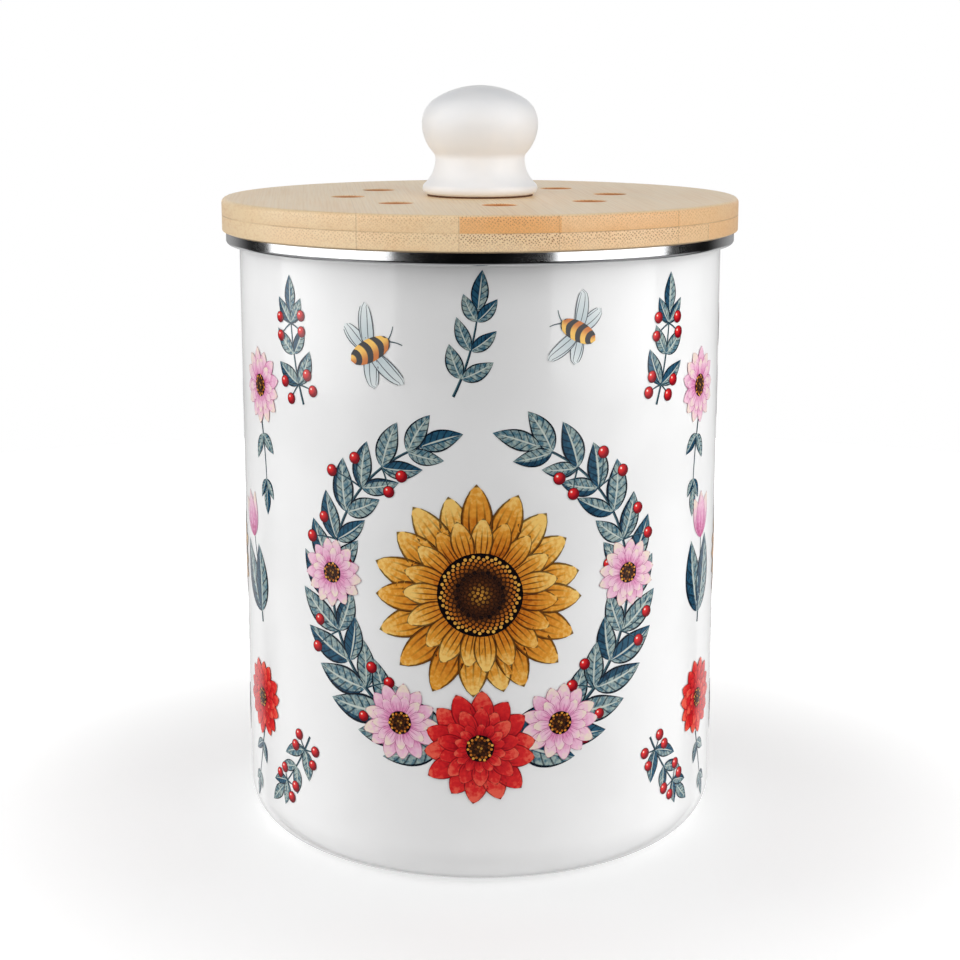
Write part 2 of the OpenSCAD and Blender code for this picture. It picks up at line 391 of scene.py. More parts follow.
class Finish(Nodes):
    """A material's nodes, with one short method for each kind of node that the finishes use."""

    def __init__(self, name, **values):
        self.material = bpy.data.materials.new(name)
        self.material.use_nodes = True
        super().__init__(self.material.node_tree)
        self.shader = self.tree.nodes["Principled BSDF"]
        self.set(**values)

    def set(self, **values):
        """Sets or links the shader's sockets, Base_Color for Base Color, and returns the material."""
        for name, value in values.items():
            self.feed(self.shader.inputs[name.replace("_", " ")], value)
        return self.material

    def place(self, scale=(1, 1, 1), turn=0.0):
        """Object coordinates in millimetres, turned about Z and then scaled along each axis."""
        where = self.value("TexCoord", output="Object")
        turned = self.value("Mapping", {"Vector": where, "Rotation": (0, 0, turn)})
        return self.value("Mapping", {"Vector": turned, "Scale": [s / MM for s in scale]})

    def noise(self, scale=1.0, detail=3.0, roughness=0.5, distortion=0.0, at=None):
        inputs = {"Vector": at or self.place(), "Scale": scale, "Detail": detail, "Roughness": roughness}
        return self.value("TexNoise", {**inputs, "Distortion": distortion})

    def cells(self, scale):
        """Distance to the nearest of many scattered points."""
        return self.value("TexVoronoi", {"Vector": self.place(), "Scale": scale}, "Distance")

    def mix(self, share, a, b):
        """Between two colours, each given as 0 to 255 or as a value."""
        return self.value("Mix", {0: share, 6: as_colour(a), 7: as_colour(b)}, 2, data_type="RGBA")

    def paint(self, share, a, b=None):
        """Makes the surface's colour go from a to b, or to a over what it was, and returns the material."""
        self.colour = self.mix(share, a, b) if b else self.mix(share, self.colour, a)
        return self.set(Base_Color=self.colour)

    def ramp(self, value, stops, interpolation="LINEAR"):
        """The colour at a value, where each stop is a position and a colour of 0 to 255."""
        made = self.node("ValToRGB", {0: value})
        band = made.color_ramp
        band.interpolation = interpolation
        while len(band.elements) < len(stops):
            band.elements.new(0.5)
        for element, (position, colour) in zip(band.elements, stops):
            element.position = position
            element.color = as_colour(colour)
        return Value(self, made.outputs[0])

    def bump(self, height, depth):
        """Raises the surface by depth in millimetres where height is 1, and returns the material."""
        return self.set(Normal=self.value("Bump", {"Height": height, "Distance": depth * MM}))


def enamel_gloss(mat):
    """The glaze over the can and its print: glossy, with the slight waviness of fired enamel."""
    wave = mat.noise(0.03, 2)
    mat.set(Roughness=wave.spread(0.3, 0.7, 0.12, 0.2), IOR=1.5, Coat_Weight=0.35, Coat_Roughness=0.06)
    mat.bump(wave, 0.06)
    return wave


def white_enamel():
    mat = Finish("white_enamel")
    wave = enamel_gloss(mat)
    mat.paint(wave.spread(0.35, 0.65), (240, 240, 240), (244, 244, 244))
    # The glaze runs thin and a little grey where it was fired on its stand
    stand = mat.cells(0.9).fall(0.05, 0.11) * mat.parts(mat.place())[2].fall(0.0, 1.2)
    return mat.paint(stand, (120, 122, 126))


def bright_steel():
    mat = Finish("bright_steel", Metallic=1.0)
    lines = mat.noise(detail=4, at=mat.place((0.05, 0.05, 9)))
    smear = mat.noise(0.12)
    mat.paint(smear.spread(0.3, 0.7), (230, 231, 233), (240, 240, 241))
    mat.set(Roughness=(lines + smear).spread(0.7, 1.3, 0.13, 0.19))
    return mat.bump(lines, 0.002)


GRAIN_TURN = radians(-5)
# The strips of each board: where each starts across the grain in millimetres, its tone from pale to dark,
# and how strongly the fibre bundles show on its ends
UPPER_STRIPS = ((-85, 0.08, 0.30), (-43, 0.22, 0.45), (-13.5, 1.00, 0.80), (16, 0.62, 0.55),
                (54.5, 0.46, 0.40))
LOWER_STRIPS = ((-85, 0.04, 0.30), (-43, 0.14, 0.45), (-13.5, 0.12, 1.00), (16, 0.22, 0.75),
                (54.5, 0.30, 0.45), (66, 0.52, 0.25))
PLUG_STRIPS = ((-85, 0.3, 0.5), (-52, 0.55, 0.7), (-22, 0.2, 0.4), (8, 0.5, 0.8),
               (39, 0.25, 0.5), (61, 0.45, 0.6))


def strip_values(mat, across, strips, column):
    """One of the strips' values, constant over each strip."""
    span = 2 * LID_R
    stops = [(max(0.0, strip[0] / span + 0.5), (*[strip[column]] * 3, 1)) for strip in strips]
    return mat.ramp(across.math("MULTIPLY_ADD", 1 / span, 0.5), stops, "CONSTANT")


def bundles(mat, across, up, pitch, small, large):
    """The ends of fibre bundles: staggered dots across the grain, which are streaks along it."""
    shift = mat.noise(detail=1, at=mat.place((0.25, 0.02, 0.25), GRAIN_TURN)) * 1.2
    where = mat.value("CombineXYZ", {0: across + shift, 1: up - shift})
    turned = mat.value("Mapping", {"Vector": where, "Rotation": (0, 0, radians(43))})
    inputs = {"Vector": turned, "Scale": 1 / pitch, "Randomness": 0.45}
    return mat.value("TexVoronoi", inputs, "Distance", voronoi_dimensions="2D").fall(small, large)


def bamboo(name, strips, low_z, top_z, seam_z, crisp):
    """Varnished strips that run along Y, with dots on their ends that fade from the board's top down."""
    mat = Finish(name)
    across, _, up = mat.parts(mat.place(turn=GRAIN_TURN))
    facing = mat.value("NewGeometry", output="Normal")
    grain = (sin(GRAIN_TURN), cos(GRAIN_TURN), 0)
    end_on = mat.value("VectorMath", {0: facing, 1: grain}, "Value", operation="DOT_PRODUCT")
    end_on = abs(end_on).spread(0.35, 0.85)
    level = abs(mat.parts(facing)[2])
    flat, upright = level.spread(0.5, 0.9), level.fall(0.2, 0.6)
    streak = mat.noise(detail=5, roughness=0.6, at=mat.place((1.3, 0.018, 1.3), GRAIN_TURN))
    cloud = mat.noise(0.06, at=mat.place((1, 0.3, 1), GRAIN_TURN))

    own = strip_values(mat, across, strips, 1) * flat.spread(0, 1, 1.0, 0.1)
    mat.paint(own + cloud.spread(0.3, 0.7, -0.12, 0.12), (245, 218, 176), (245, 184, 118))
    streaky = streak.spread(0.40, 0.80, 0.0, 0.34) * flat.spread(0, 1, 1.0, 0.4)
    mat.paint(streaky, (206, 150, 96))

    # The dots are large and dark near the top of each board, and pale and small at its bottom
    depth = (up + cloud.spread(0.3, 0.7, -0.6, 0.6)).spread(low_z, top_z)
    clear = bundles(mat, across, up, 0.84, 0.14, 0.36) * depth.spread(0.0, crisp, 0.30, 0.95)
    faint = bundles(mat, up, across, 0.55, 0.14, 0.40) * 0.26
    showing = strip_values(mat, across, strips, 2) * end_on.spread(0, 1, 0.2, 1.0)
    mat.paint(clear.either(faint) * showing, (138, 80, 36))

    joint = abs(across - strips[1][0]).fall(0.04, 0.14)
    for strip in strips[2:]:
        joint = joint.either(abs(across - strip[0]).fall(0.04, 0.14))
    mat.paint(joint * flat.spread(0, 1, 0.45, 0.15), (140, 88, 46))

    # A thin dark line of glue where this board meets the next one
    line = abs(up - seam_z).fall(0.08, 0.20, 0.7) * upright * cloud.spread(0.38, 0.55)
    mat.paint(line, (112, 66, 34))

    # The walls of the drilled holes are darker end grain, with painted shade that makes them darkest deep
    # down
    x, y, z = mat.parts(mat.place())
    past_vents = VENT_RING_R + VENT_R + 1
    drilled = radius_at(x, y).fall(past_vents, past_vents + 1) * upright * 0.85
    # Painted shade: the hole walls go from tan near the lid top to dark brown deeper in
    end_grain_and_depth_shade = mat.mix(z.spread(LID_TOP_Z - 4.5, LID_TOP_Z - 0.6), (104, 52, 22), (206, 128, 66))
    mat.paint(drilled, end_grain_and_depth_shade)
    mat.set(Roughness=streak.spread(0.3, 0.8, 0.34, 0.46), IOR=1.45, Coat_Weight=0.15, Coat_Roughness=0.25)
    return mat.bump(streak - clear.either(joint) * 0.5, 0.02)


def knob_glaze():
    mat = Finish("knob_glaze", Specular_IOR_Level=0.4)
    cloud = mat.noise(0.09, 2)
    mat.paint(cloud.spread(0.35, 0.65), (242, 243, 245), (246, 246, 247))
    mat.set(Roughness=cloud.spread(0.3, 0.7, 0.34, 0.42))
    return mat.bump(cloud, 0.02)


def silicone():
    mat = Finish("silicone", Transmission_Weight=0.15, IOR=1.41)
    cloud = mat.noise(0.5)
    mat.paint(cloud, (214, 214, 210), (232, 232, 228))
    mat.set(Roughness=cloud.spread(0.3, 0.7, 0.38, 0.52))
    return mat.bump(cloud, 0.02)


def fibre():
    mat = Finish("fibre", Roughness=0.8)
    speck = mat.noise(2.5, 4)
    mat.paint(speck, (70, 40, 24), (112, 70, 44))
    return mat.bump(speck, 0.05)


def turned_metal(name, dark, pale, rough):
    """Metal with the fine rings that a lathe leaves."""
    mat = Finish(name, Metallic=1.0)
    x, y, z = mat.parts(mat.place())
    rings = mat.noise(9, at=mat.value("CombineXYZ", {0: radius_at(x, y), 1: z}))
    mat.paint(rings, dark, pale)
    mat.set(Roughness=rings.spread(0.3, 0.7, rough, rough + 0.15))
    return mat.bump(rings, 0.01)


def tray_plastic():
    mat = Finish("tray_plastic")
    grain = mat.noise(3.2)
    mat.paint(mat.noise(0.06, 2), (52, 53, 55), (64, 65, 67))
    mat.set(Roughness=grain.spread(0.3, 0.7, 0.42, 0.6))
    return mat.bump(grain, 0.03)


def charcoal_felt():
    mat = Finish("charcoal_felt", Roughness=0.95, Sheen_Weight=0.25, Sheen_Roughness=0.5)
    fibres = mat.noise(1.4, 6, 0.75, 2.5, mat.place((1, 1, 2)))
    grit = mat.cells(1.1).fall(0.12, 0.3) * 0.5
    mat.paint(fibres.spread(0.3, 0.75), (24, 24, 26), (72, 72, 76))
    mat.paint(grit, (14, 14, 15))
    return mat.bump(fibres + mat.noise(0.3, 2), 0.35)


# ------------ can and rim
def can_profile():
    flare = (CAN_R + CAN_LIP_R, CAN_LIP_Z - CAN_WALL - CAN_LIP_R)
    corner = (FOOT_R, CAN_CORNER_R)
    lip_end_r = RIM_R - CAN_LIP_INSET
    foot_inner_r = FOOT_R - FOOT_W
    panel_r = foot_inner_r - BASE_SLOPE_W
    base = [(0, BASE_RISE), (panel_r - PANEL_EDGE_W, BASE_RISE), (panel_r, BASE_RISE - PANEL_EDGE_H),
            (foot_inner_r - FOOT_EDGE_W, FOOT_EDGE_H), (foot_inner_r, 0)]
    outside = base + arc(corner, CAN_CORNER_R, -90, 0, 32) + arc(flare, CAN_LIP_R, 180, 90, 8)
    outside += [(lip_end_r, CAN_LIP_Z - CAN_WALL)]
    inside = [(lip_end_r, CAN_LIP_Z)] + arc(flare, CAN_LIP_R + CAN_WALL, 90, 180, 10)
    inside += arc(corner, CAN_CORNER_R - CAN_WALL, 0, -90, 32)
    return outside + inside + [(r, z + CAN_WALL) for r, z in reversed(base)]


def rim_profile():
    seat = RIM_T + CAN_LIP_Z
    top_edge = (RIM_R - RIM_TOP_R, seat - RIM_TOP_R)
    bottom_edge = (RIM_R - RIM_BOTTOM_R, RIM_BOTTOM_Z + RIM_BOTTOM_R)
    leg_r = CAN_R + RIM_GAP
    start_r = CAN_R + CAN_LIP_R
    outside = [(start_r, seat), *arc(top_edge, RIM_TOP_R, 90, 0, 12)]
    outside += arc(bottom_edge, RIM_BOTTOM_R, 0, -90, 14)
    inside = arc(bottom_edge, RIM_BOTTOM_R - RIM_T, -90, 0, 12) + arc(top_edge, RIM_TOP_R - RIM_T, 0, 90, 10)
    leg = [(leg_r, RIM_BOTTOM_Z), (leg_r, RIM_BOTTOM_Z + RIM_T)]
    return outside + leg + inside + [(start_r, CAN_LIP_Z)]


# ------------ lid
def vent_centres():
    angles = [VENT_TURN - pi / 2 + i * 2 * pi / VENT_COUNT for i in range(VENT_COUNT)]
    return [off((0, 0), VENT_RING_R, a) for a in angles]


def eased_hole(radius, top_z, bottom_z, top_ease, bottom_ease):
    """A hole's wall, with each mouth eased by a small round where it is given one."""
    wall = [(radius + top_ease + HOLE_LAND, top_z)]
    for ease, z, start in ((top_ease, top_z - top_ease, 90), (bottom_ease, bottom_z + bottom_ease, 180)):
        wall += arc((radius + ease, z), ease, start, start + 90, 4) if ease else [(radius, z)]
    return wall + [(radius + bottom_ease + HOLE_LAND, bottom_z)]


def ply_mesh(outline, vent_wall, middle_wall):
    bm = bmesh.new()
    board(bm, outline, [(centre, vent_wall) for centre in vent_centres()] + [((0, 0), middle_wall)])
    return bm


def upper_ply_mesh():
    outline = [(LID_R - LID_TOP_R - EDGE_LAND, LID_TOP_Z)]
    outline += arc((LID_R - LID_TOP_R, LID_TOP_Z - LID_TOP_R), LID_TOP_R, 90, 0, 10)
    outline += arc((LID_R - PLY_EDGE_R, PLY_JOINT_Z + PLY_EDGE_R), PLY_EDGE_R, 0, -90, 3)
    outline += [(LID_R - JOINT_LAND, PLY_JOINT_Z)]
    return ply_mesh(outline, eased_hole(VENT_R, LID_TOP_Z, PLY_JOINT_Z, VENT_EDGE, 0.0),
                    eased_hole(SCREW_HOLE_R, LID_TOP_Z, PLY_JOINT_Z, 0.0, 0.0))


def lower_ply_mesh():
    outline = [(LID_R - JOINT_LAND, PLY_JOINT_Z)]
    outline += arc((LID_R - PLY_EDGE_R, PLY_JOINT_Z - PLY_EDGE_R), PLY_EDGE_R, 90, 0, 3)
    outline += arc((LID_R - LID_BOTTOM_R, SEAT_Z + LID_BOTTOM_R), LID_BOTTOM_R, 0, -90, 6)
    outline += [(LID_R - LID_BOTTOM_R - EDGE_LAND, SEAT_Z)]
    counterbore = [(SCREW_HOLE_R + HOLE_LAND, PLY_JOINT_Z), (SCREW_HOLE_R, PLY_JOINT_Z),
                   (SCREW_HOLE_R, COUNTERBORE_TOP_Z), (COUNTERBORE_R, COUNTERBORE_TOP_Z),
                   (COUNTERBORE_R, SEAT_Z), (COUNTERBORE_R + HOLE_LAND, SEAT_Z)]
    return ply_mesh(outline, eased_hole(VENT_R, PLY_JOINT_Z, SEAT_Z, 0.0, VENT_EDGE), counterbore)


def plug_profile():
    groove_top, groove_bottom = SEAL_TOP_Z + GROOVE_GAP, SEAL_BOTTOM_Z - GROOVE_GAP
    return [*arc((PLUG_BORE_R + PLUG_EASE, PLUG_BOTTOM_Z + PLUG_EASE), PLUG_EASE, 180, 270, 4),
            *arc((PLUG_R - PLUG_EDGE_R, PLUG_BOTTOM_Z + PLUG_EDGE_R), PLUG_EDGE_R, -90, 0, 6),
            (PLUG_R, groove_bottom), (GROOVE_R, groove_bottom), (GROOVE_R, groove_top), (PLUG_R, groove_top),
            (PLUG_R, SEAT_Z), (PLUG_BORE_R, SEAT_Z)]


def seal_profile():
    """The root in the groove, then soft lips with round tips, from the bottom up."""
    pitch = (SEAL_TOP_Z - SEAL_BOTTOM_Z - SEAL_LIP_T) / (SEAL_LIPS - 1)
    tip = SEAL_LIP_T / 2
    points = [(GROOVE_R, SEAL_BOTTOM_Z)]
    for i in range(SEAL_LIPS):
        middle = SEAL_BOTTOM_Z + tip + i * pitch
        if i:
            points.append((PLUG_R, middle - tip))
        points += arc((SEAL_R - tip, middle), tip, -90, 90, 6)
        if i < SEAL_LIPS - 1:
            points.append((PLUG_R, middle + tip))
    return points + [(GROOVE_R, SEAL_TOP_Z)]


def knob_profile():
    """Rolled foot, flare, hollow neck, belly, shoulder and crown, in arcs that meet smoothly."""
    shoulder = (KNOB_HEAD_R - KNOB_SHOULDER_R, KNOB_WIDE_H)
    belly = (KNOB_HEAD_R - KNOB_BELLY_R, KNOB_WIDE_H)
    crown_h = KNOB_H - KNOB_WIDE_H
    crown_r = (shoulder[0] ** 2 + crown_h ** 2 - KNOB_SHOULDER_R ** 2) / (2 * (crown_h - KNOB_SHOULDER_R))
    crown = (0, KNOB_H - crown_r)
    crown_a = degrees(atan2(shoulder[1] - crown[1], shoulder[0]))
    hollow_r = KNOB_NECK_R + KNOB_HOLLOW_R
    drop = sqrt((KNOB_BELLY_R + KNOB_HOLLOW_R) ** 2 - (hollow_r - belly[0]) ** 2)
    hollow = (hollow_r, KNOB_WIDE_H - drop)
    hollow_a = degrees(atan2(belly[1] - hollow[1], belly[0] - hollow[0]))
    edge = (KNOB_FOOT_R - KNOB_EDGE_R, KNOB_EDGE_R)
    inset = edge[0] - KNOB_NECK_R
    flare_r = (inset ** 2 + (hollow[1] - edge[1]) ** 2 - KNOB_EDGE_R ** 2) / (2 * (KNOB_EDGE_R + inset))
    flare = (KNOB_NECK_R + flare_r, hollow[1])
    flare_a = degrees(atan2(edge[1] - flare[1], edge[0] - flare[0]))
    outline = [(KNOB_BORE_R, 0), *arc(edge, KNOB_EDGE_R, -90, flare_a + 180, 16),
               *arc(flare, flare_r, flare_a + 360, 180, 20), *arc(hollow, KNOB_HOLLOW_R, 180, hollow_a, 12),
               *arc(belly, KNOB_BELLY_R, hollow_a - 180, 0, 20),
               *arc(shoulder, KNOB_SHOULDER_R, 0, crown_a, 24), *arc(crown, crown_r, crown_a, 90, 20),
               (0, KNOB_BORE_H), (KNOB_BORE_R, KNOB_BORE_H)]
    return [(r, KNOB_Z + z) for r, z in outline]


# ------------ filter and its tray
def tray_floor(bm):
    """The slotted floor: a polar grid whose slot cells are left out, given its thickness and eased edges."""
    radii = [0.0, SLOT_HUB_R]
    for i in range(SLOT_ROWS):
        start = SLOT_HUB_R + i * (SLOT_W + SLOT_RIB_W)
        radii += [start + SLOT_W, start + SLOT_W + SLOT_RIB_W]
    radii[-1] = FLANGE_R
    steps = SPOKE_COUNT * SPOKE_STEPS
    made = bmesh.ops.create_grid(bm, x_segments=len(radii) - 1, y_segments=steps, size=1)["verts"]
    cell = {}
    for vert in made:
        ring = round((vert.co.x + 1) / 2 * (len(radii) - 1))
        step = round((vert.co.y + 1) / 2 * steps)
        cell[vert] = (ring, step)
    slots = []
    for face in bm.faces:
        ring = min(cell[v][0] for v in face.verts)
        step = min(cell[v][1] for v in face.verts)
        if ring % 2 == 1 and ring < 2 * SLOT_ROWS and step % SPOKE_STEPS != 0:
            slots.append(face)
    for vert, (ring, step) in cell.items():
        radius = radii[ring]
        half = asin(min(1, SPOKE_W / 2 / max(radius, SLOT_HUB_R)))
        sector = 2 * pi / SPOKE_COUNT
        spoke, part = divmod(step, SPOKE_STEPS)
        inner = -half if part == 0 else half + (sector - 2 * half) * (part - 1) / (SPOKE_STEPS - 1)
        a = spoke * sector + inner
        vert.co = (radius * cos(a), radius * sin(a), PLUG_BOTTOM_Z)
    bmesh.ops.delete(bm, geom=slots, context="FACES")
    bmesh.ops.remove_doubles(bm, verts=bm.verts[:], dist=WELD)
    bmesh.ops.recalc_face_normals(bm, faces=bm.faces[:])
    if bm.faces[0].normal.z > 0:
        bmesh.ops.reverse_faces(bm, faces=bm.faces[:])
    bmesh.ops.solidify(bm, geom=bm.faces[:], thickness=TRAY_FLOOR_T)
    bm.normal_update()
    edges = [e for e in bm.edges if len(e.link_faces) == 2 and e.calc_face_angle(0) > FLOOR_SHARP]
    bmesh.ops.bevel(bm, geom=edges, offset=FLOOR_EDGE_R, segments=2, profile=0.5, affect="EDGES", material=-1)


def tray_mesh():
    bm = bmesh.new()
    tray_floor(bm)
    ease_z = PLUG_BOTTOM_Z + COLLAR_H - COLLAR_EASE
    turn_profile(bm, [(TRAY_OUTER_R, PLUG_BOTTOM_Z),
                      *arc((TRAY_OUTER_R - COLLAR_EASE, ease_z), COLLAR_EASE, 0, 90, 3),
                      *arc((TRAY_INNER_R + COLLAR_EASE, ease_z), COLLAR_EASE, 90, 180, 3),
                      (TRAY_INNER_R, PLUG_BOTTOM_Z)])
    for i in range(DETENT_COUNT):
        rounded_block(bm, DETENT_SIZE, (TRAY_OUTER_R - DETENT_SINK, 0, PLUG_BOTTOM_Z + COLLAR_H / 2),
                      DETENT_EDGE_R, i * 2 * pi / DETENT_COUNT)
    grip_top = PLUG_BOTTOM_Z - TRAY_FLOOR_T + GRIP_SINK
    rounded_block(bm, (GRIP_L, GRIP_T, grip_top - GRIP_BOTTOM_Z), (0, 0, (grip_top + GRIP_BOTTOM_Z) / 2),
                  GRIP_EDGE_R)
    for i in range(GRIP_RIDGES):
        rounded_block(bm, RIDGE_SIZE, (0, 0, GRIP_BOTTOM_Z + RIDGE_START + RIDGE_PITCH * i), RIDGE_EDGE_R)
    return bm


def felt_mesh():
    """A felt disc with soft edges and an uneven face."""
    bm = bmesh.new()
    bottom = PLUG_BOTTOM_Z + FELT_GAP
    top = FILTER_TOP_Z - FELT_DIP
    face = [(i / FELT_RINGS * (FILTER_R - FELT_EDGE_R), top) for i in range(FELT_RINGS)]
    under = [(r, bottom) for r, _ in reversed(face)]
    edge_r = FILTER_R - FELT_EDGE_R - FELT_GAP
    rim = arc((edge_r, top - FELT_EDGE_R), FELT_EDGE_R, 90, 0, 6)
    rim += arc((edge_r, bottom + FELT_EDGE_R), FELT_EDGE_R, 0, -90, 6)
    turn_profile(bm, face + rim + under, FELT_STEPS, closed=False)
    for vert in bm.verts:
        rise = noise.fractal(vert.co * FELT_GRAIN, 1.0, 2.0, 4) * FELT_RISE
        vert.co.z += rise if vert.co.z > (top + bottom) / 2 else max(rise, 0)
    return bm


# ------------ print
def sheet_to_can(u, z, lift):
    """A point of the print, u round the can from the front and z up, on the wall and lifted off it."""
    a = u / CAN_R
    return Vector(((CAN_R + lift) * sin(a), -(CAN_R + lift) * cos(a), z))


class Ink:
    """One ink of the print: flat shapes that carry their own coordinates along and across, and a tone."""

    def __init__(self, name, material):
        self.name = name
        self.material = material
        self.sheets = []
        self.new_sheet()

    def new_sheet(self):
        """Starts a small mesh, because each operator goes over the whole of the mesh that it works on."""
        self.bm = bmesh.new()
        layers = self.bm.verts.layers.float
        self.along, self.across, self.tone = [layers.new(name) for name in ("along", "across", "tone")]

    def put_away(self):
        self.sheets.append(mesh_of(self.name + "_sheet", self.bm))
        self.new_sheet()

    def shape(self, rows, columns, lift, tone, place):
        """A grid whose points place takes, from 0 to 1 and from -1 to 1, to along, across, u and z."""
        if len(self.bm.verts) > SHEET_VERTS:
            self.put_away()
        verts = bmesh.ops.create_grid(self.bm, x_segments=rows, y_segments=columns, size=1)["verts"]
        for vert in verts:
            vert[self.along], vert[self.across], u, z = place((vert.co.x + 1) / 2, vert.co.y)
            vert[self.tone] = tone
            vert.co = sheet_to_can(u, z, lift)
        bmesh.ops.remove_doubles(self.bm, verts=verts, dist=PRINT_WELD)

    def blade(self, start, heading, length, width, outline, lift, bend=0.0, tone=0.5, rows=12, columns=4):
        """A leaf or petal from start along heading, in degrees, that bends as it goes. Returns its tip."""
        turn = radians(bend)

        def place(t, v):
            a = radians(heading) + turn * t
            x, y = self.spine(start, heading, length, turn, t)
            half = width / 2 * outline(t) * v
            return t, v, x - sin(a) * half, y + cos(a) * half

        self.shape(rows, columns, lift, tone, place)
        return self.spine(start, heading, length, turn, 1)

    @staticmethod
    def spine(start, heading, length, turn, t):
        a = radians(heading)
        if abs(turn) < 1e-3:
            return off(start, length * t, a)
        radius = length / turn
        return (start[0] + radius * (sin(a + turn * t) - sin(a)),
                start[1] - radius * (cos(a + turn * t) - cos(a)))

    def disc(self, centre, radius, lift, steps, rings, tone=0.5):
        """A round spot: along and across are its own x and y, from -1 to 1."""
        def place(r, share):
            x, y = r * cos(share * pi), r * sin(share * pi)
            return x, y, centre[0] + x * radius, centre[1] + y * radius

        self.shape(rings, steps, lift, tone, place)

    def finished(self):
        """The ink as a thin raised layer with its faces turned outwards."""
        self.put_away()
        for sheet in self.sheets:
            self.bm.from_mesh(sheet)
            bpy.data.meshes.remove(sheet)
        for face in self.bm.faces:
            face.normal_update()
            centre = face.calc_center_median()
            if face.normal.x * centre.x + face.normal.y * centre.y < 0:
                face.normal_flip()
        radial = [Vector((v.co.x, v.co.y, 0)).normalized() for v in self.bm.verts]
        made = piece(self.name, self.bm, self.material, "caddy", recalculate=False)
        made.data.normals_split_custom_set_from_vertices(radial)


def leaf_outline(t):
    return sin(pi * t ** 0.82) ** 0.92 if 0 < t < 1 else 0.0


def long_petal(t):
    return sin(pi * t ** 1.25) ** 0.75 if 0 < t < 1 else 0.0


def oval(t):
    return sqrt(max(0.0, 1 - (2 * t - 1) ** 2))


def stem_outline(t):
    return 1 - 0.45 * t


def ink_finish(name):
    """A finish under the can's glaze, and three values: along and across the shape, and its tone."""
    mat = Finish(name)
    enamel_gloss(mat)
    layers = ("along", "across", "tone")
    return mat, *[mat.value("Attribute", output="Fac", attribute_name=layer) for layer in layers]


def petal_ink(name, colours, line, outline_at=0.86, count=3.0, fade=0.75, depth=0.6):
    """A petal's ink: colours from base to tip, lines that fade towards the tip and a darker edge."""
    mat, along, across, tone = ink_finish(name)
    shade = along + mat.noise(0.8).spread(0.3, 0.7, -0.14, 0.14) + tone.math("MULTIPLY_ADD", 0.36, -0.18)
    mat.colour = mat.ramp(shade, colours)
    lines = (across * count).math("PINGPONG", 1.0).fall(0.14, 0.14 * 2.2) * along.fall(fade * 0.5, fade)
    mat.paint(lines * depth, line)
    edge = abs(across).spread(outline_at, outline_at + 0.08).either(along.spread(0.955, 0.975))
    return mat.paint(edge * 0.8, line)


def leaf_ink():
    """Navy on one half of the leaf and grey-green on the other, with a pale midrib and dark veins."""
    mat, along, across, tone = ink_finish("leaf_ink")
    side = abs(across)
    blotch = mat.noise(0.7, 4, 0.6)
    dark = mat.mix((blotch + tone * 0.4).spread(0.45, 0.95), (18, 38, 58), (40, 88, 114))
    pale = mat.mix(blotch.spread(0.35, 0.65), (70, 112, 130), (166, 182, 176))
    mat.paint((across + tone.spread(0, 1, -1.1, 0.3)).spread(-0.05, 0.05), pale, dark)
    wave = (along * 6.5 - side * 1.1).math("FRACT")
    mat.paint(abs(wave - 0.5).fall(0.07, 0.14) * 0.75, (14, 30, 46))
    mat.paint(side.spread(0.80, 0.88), (12, 26, 40))
    rib = side.fall(0.05, 0.10) * along.fall(0.75, 0.98)
    return mat.paint(rib, (198, 206, 198))


def stem_ink():
    mat, _, across, _ = ink_finish("stem_ink")
    return mat.paint(across.spread(-0.4, 0.6), (24, 42, 60), (70, 104, 112))


def berry_ink():
    """Red, and paler round a glint up on the left."""
    mat, x, y, _ = ink_finish("berry_ink")
    glow = radius_at(x + 0.35, y - 0.35)
    mat.colour = mat.ramp(glow, [(0.0, (240, 92, 78)), (0.35, (222, 38, 40)), (0.8, (176, 16, 30)),
                           (1.0, (128, 10, 26))])
    mat.paint(glow.fall(0.10, 0.20), (255, 228, 220))
    return mat.paint(radius_at(x, y).spread(0.84, 0.92), (92, 12, 26))


def seed_ink():
    """Black and amber seeds: the tone says how far from the middle each one is."""
    mat, x, y, tone = ink_finish("seed_ink")
    mat.colour = mat.ramp(tone, [(0.0, (214, 150, 60)), (0.3, (92, 50, 24)), (0.6, (28, 20, 22)),
                           (0.85, (196, 110, 34)), (1.0, (240, 186, 84))])
    return mat.paint(radius_at(x, y).spread(0.72, 0.86), (20, 14, 16))


def bee_ink():
    """Black and amber bands round a bee's body."""
    mat, along, across, _ = ink_finish("bee_ink")
    bands = ((along + across ** 2 * 0.10) * 3.6).math("FRACT")
    amber = mat.mix(across.spread(-0.7, 0.5), (206, 112, 24), (250, 196, 84))
    return mat.set(Base_Color=mat.mix(bands.spread(0.46, 0.52), amber, (20, 16, 18)))


def wing_ink():
    mat, along, across, _ = ink_finish("wing_ink")
    net = (across * 2.2 + along).math("PINGPONG", 1.0)
    line = net.fall(0.08, 0.16).either(abs(across).spread(0.84, 0.9))
    mat.paint(along, (176, 194, 200), (232, 238, 238))
    return mat.paint(line, (40, 52, 66))


PINK = ((0.0, (196, 84, 138)), (0.25, (228, 150, 192)), (0.7, (240, 196, 216)), (1.0, (240, 222, 206)))
RED = ((0.0, (112, 8, 22)), (0.3, (186, 18, 32)), (0.75, (222, 40, 42)), (1.0, (238, 96, 76)))
AMBER = ((0.0, (134, 56, 10)), (0.3, (206, 116, 28)), (0.7, (232, 158, 56)), (1.0, (250, 206, 116)))


